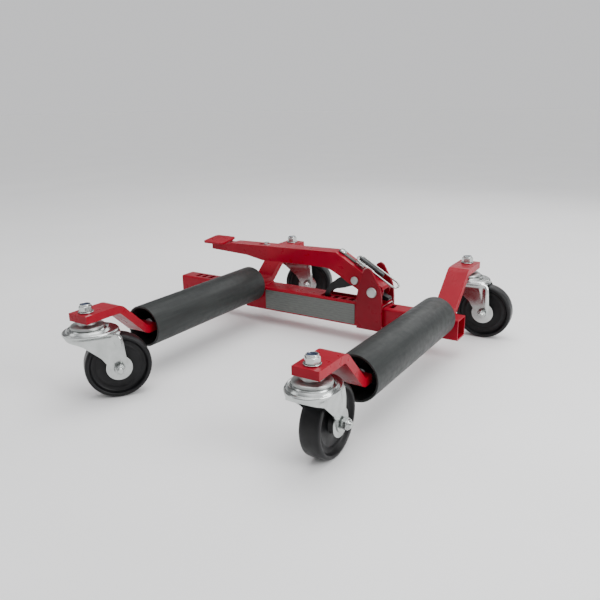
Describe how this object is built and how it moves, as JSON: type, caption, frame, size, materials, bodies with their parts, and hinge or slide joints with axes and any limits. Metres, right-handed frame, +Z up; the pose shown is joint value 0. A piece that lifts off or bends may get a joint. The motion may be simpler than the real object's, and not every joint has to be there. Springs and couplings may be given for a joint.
{
  "type": "wheel dolly",
  "caption": "Foot-operated wheel dolly: rollers on a telescoping ratchet beam close under a tyre, lift it by a pedal lever and carry it on swivel casters.",
  "frame": {"origin": "on the ground, at the centre of the whole dolly's footprint at rest", "axes": "+Z up; +X along the telescoping beam, from the pedal's end towards the moving jaw; +Y from the open side, where the tyre comes in, towards the beam"},
  "size_m": [0.7153, 0.6797, 0.1784],
  "materials": {
    "red_paint": "glossy red enamel over steel",
    "ear_paint": "glossy red enamel over laser-cut plate",
    "roller_coat": "satin charcoal powder coat",
    "zinc": "bright zinc plating",
    "bright_steel": "plain turned steel",
    "wheel_black": "moulded black polymer, faintly glossy",
    "pawl_black": "black oxide on steel",
    "plate_grey": "brushed grey plate with no marks",
    "strap_grey": "dark woven strap",
    "pin_dark": "dark phosphated steel"
  },
  "bodies": {
    "left_frame": {"outer_sleeve": "red_paint", "near_ear": "ear_paint", "far_ear": "ear_paint", "data_plate": "plate_grey", "left_front_arm": "red_paint", "left_rear_arm": "red_paint", "left_shaft": "bright_steel", "pivot_pin": "zinc", "front_left_stem": "zinc", "front_left_stem_nut": "zinc", "rear_left_stem": "zinc", "rear_left_stem_nut": "zinc"},
    "right_frame": {"rack_tube": "red_paint", "right_front_arm": "red_paint", "right_rear_arm": "red_paint", "right_shaft": "bright_steel", "front_right_stem": "zinc", "front_right_stem_nut": "zinc", "rear_right_stem": "zinc", "rear_right_stem_nut": "zinc"},
    "left_roller": {"left_roller": "roller_coat"},
    "right_roller": {"right_roller": "roller_coat"},
    "pedal": {"pedal_lever": "red_paint", "pedal_pad": "red_paint", "pawl_pin": "zinc", "knee_screw": "zinc", "pedal_bolt": "zinc", "tether_strap": "strap_grey", "tether_ferrule": "zinc"},
    "drive_pawl": {"drive_pawl": "pawl_black"},
    "holding_pawl": {"holding_pawl": "pawl_black"},
    "lock_pin": {"pin_bail": "zinc", "pin_shank": "pin_dark"},
    "front_left_swivel": {"front_left_fork": "zinc", "front_left_hub_disc_near": "zinc", "front_left_hub_disc_far": "zinc", "front_left_axle_bolt": "zinc", "front_left_axle_nut": "zinc"},
    "front_left_wheel": {"front_left_wheel": "wheel_black"},
    "rear_left_swivel": {"rear_left_fork": "zinc", "rear_left_hub_disc_near": "zinc", "rear_left_hub_disc_far": "zinc", "rear_left_axle_bolt": "zinc", "rear_left_axle_nut": "zinc"},
    "rear_left_wheel": {"rear_left_wheel": "wheel_black"},
    "front_right_swivel": {"front_right_fork": "zinc", "front_right_hub_disc_near": "zinc", "front_right_hub_disc_far": "zinc", "front_right_axle_bolt": "zinc", "front_right_axle_nut": "zinc"},
    "front_right_wheel": {"front_right_wheel": "wheel_black"},
    "rear_right_swivel": {"rear_right_fork": "zinc", "rear_right_hub_disc_near": "zinc", "rear_right_hub_disc_far": "zinc", "rear_right_axle_bolt": "zinc", "rear_right_axle_nut": "zinc"},
    "rear_right_wheel": {"rear_right_wheel": "wheel_black"}
  },
  "joints": [
    {"name": "jaw_slide", "type": "slide", "parent": "left_frame", "child": "right_frame", "axis": [1, 0, 0], "range_m": [-0.085, 0.26]},
    {"name": "left_roller_spin", "type": "hinge", "parent": "left_frame", "child": "left_roller", "pos_m": [-0.149, -0.02565, 0.08765], "axis": [0, 1, 0], "continuous": true},
    {"name": "right_roller_spin", "type": "hinge", "parent": "right_frame", "child": "right_roller", "pos_m": [0.264, -0.02565, 0.08265], "axis": [0, 1, 0], "continuous": true},
    {"name": "front_left_swivel_turn", "type": "hinge", "parent": "left_frame", "child": "front_left_swivel", "pos_m": [-0.149, -0.2993, 0.118], "axis": [0, 0, 1], "continuous": true},
    {"name": "rear_left_swivel_turn", "type": "hinge", "parent": "left_frame", "child": "rear_left_swivel", "pos_m": [-0.149, 0.2965, 0.118], "axis": [0, 0, 1], "continuous": true},
    {"name": "front_right_swivel_turn", "type": "hinge", "parent": "right_frame", "child": "front_right_swivel", "pos_m": [0.264, -0.2993, 0.118], "axis": [0, 0, 1], "continuous": true},
    {"name": "rear_right_swivel_turn", "type": "hinge", "parent": "right_frame", "child": "rear_right_swivel", "pos_m": [0.264, 0.2965, 0.118], "axis": [0, 0, 1], "continuous": true},
    {"name": "front_left_wheel_spin", "type": "hinge", "parent": "front_left_swivel", "child": "front_left_wheel", "pos_m": [-0.12549, -0.26694, 0.0535], "axis": [-0.809, 0.5878, 0], "continuous": true},
    {"name": "rear_left_wheel_spin", "type": "hinge", "parent": "rear_left_swivel", "child": "rear_left_wheel", "pos_m": [-0.11096, 0.30886, 0.0535], "axis": [-0.309, 0.9511, 0], "continuous": true},
    {"name": "front_right_wheel_spin", "type": "hinge", "parent": "front_right_swivel", "child": "front_right_wheel", "pos_m": [0.2633, -0.25931, 0.0535], "axis": [-0.9998, -0.0175, 0], "continuous": true},
    {"name": "rear_right_wheel_spin", "type": "hinge", "parent": "rear_right_swivel", "child": "rear_right_wheel", "pos_m": [0.3039, 0.29929, 0.0535], "axis": [-0.0698, 0.9976, 0], "continuous": true},
    {"name": "pedal_hinge", "type": "hinge", "parent": "left_frame", "child": "pedal", "pos_m": [0.1335, 0.1664, 0.1072], "axis": [0, 1, 0], "range_deg": [0, 30]},
    {"name": "drive_pawl_hinge", "type": "hinge", "parent": "pedal", "child": "drive_pawl", "pos_m": [0.0897, 0.1664, 0.122], "axis": [0, 1, 0], "range_deg": [-45.5, 0]},
    {"name": "holding_pawl_hinge", "type": "hinge", "parent": "left_frame", "child": "holding_pawl", "pos_m": [0.1335, 0.1664, 0.1072], "axis": [0, 1, 0], "range_deg": [0, 16]},
    {"name": "lock_pin_flip", "type": "hinge", "parent": "pedal", "child": "lock_pin", "pos_m": [0.08913, 0.1664, 0.16555], "axis": [0, -1, 0], "range_deg": [0, 110]}
  ],
  "couplings": [
    {"joint": "drive_pawl_hinge", "follows": "pedal_hinge", "ratio": -1.51}
  ]
}
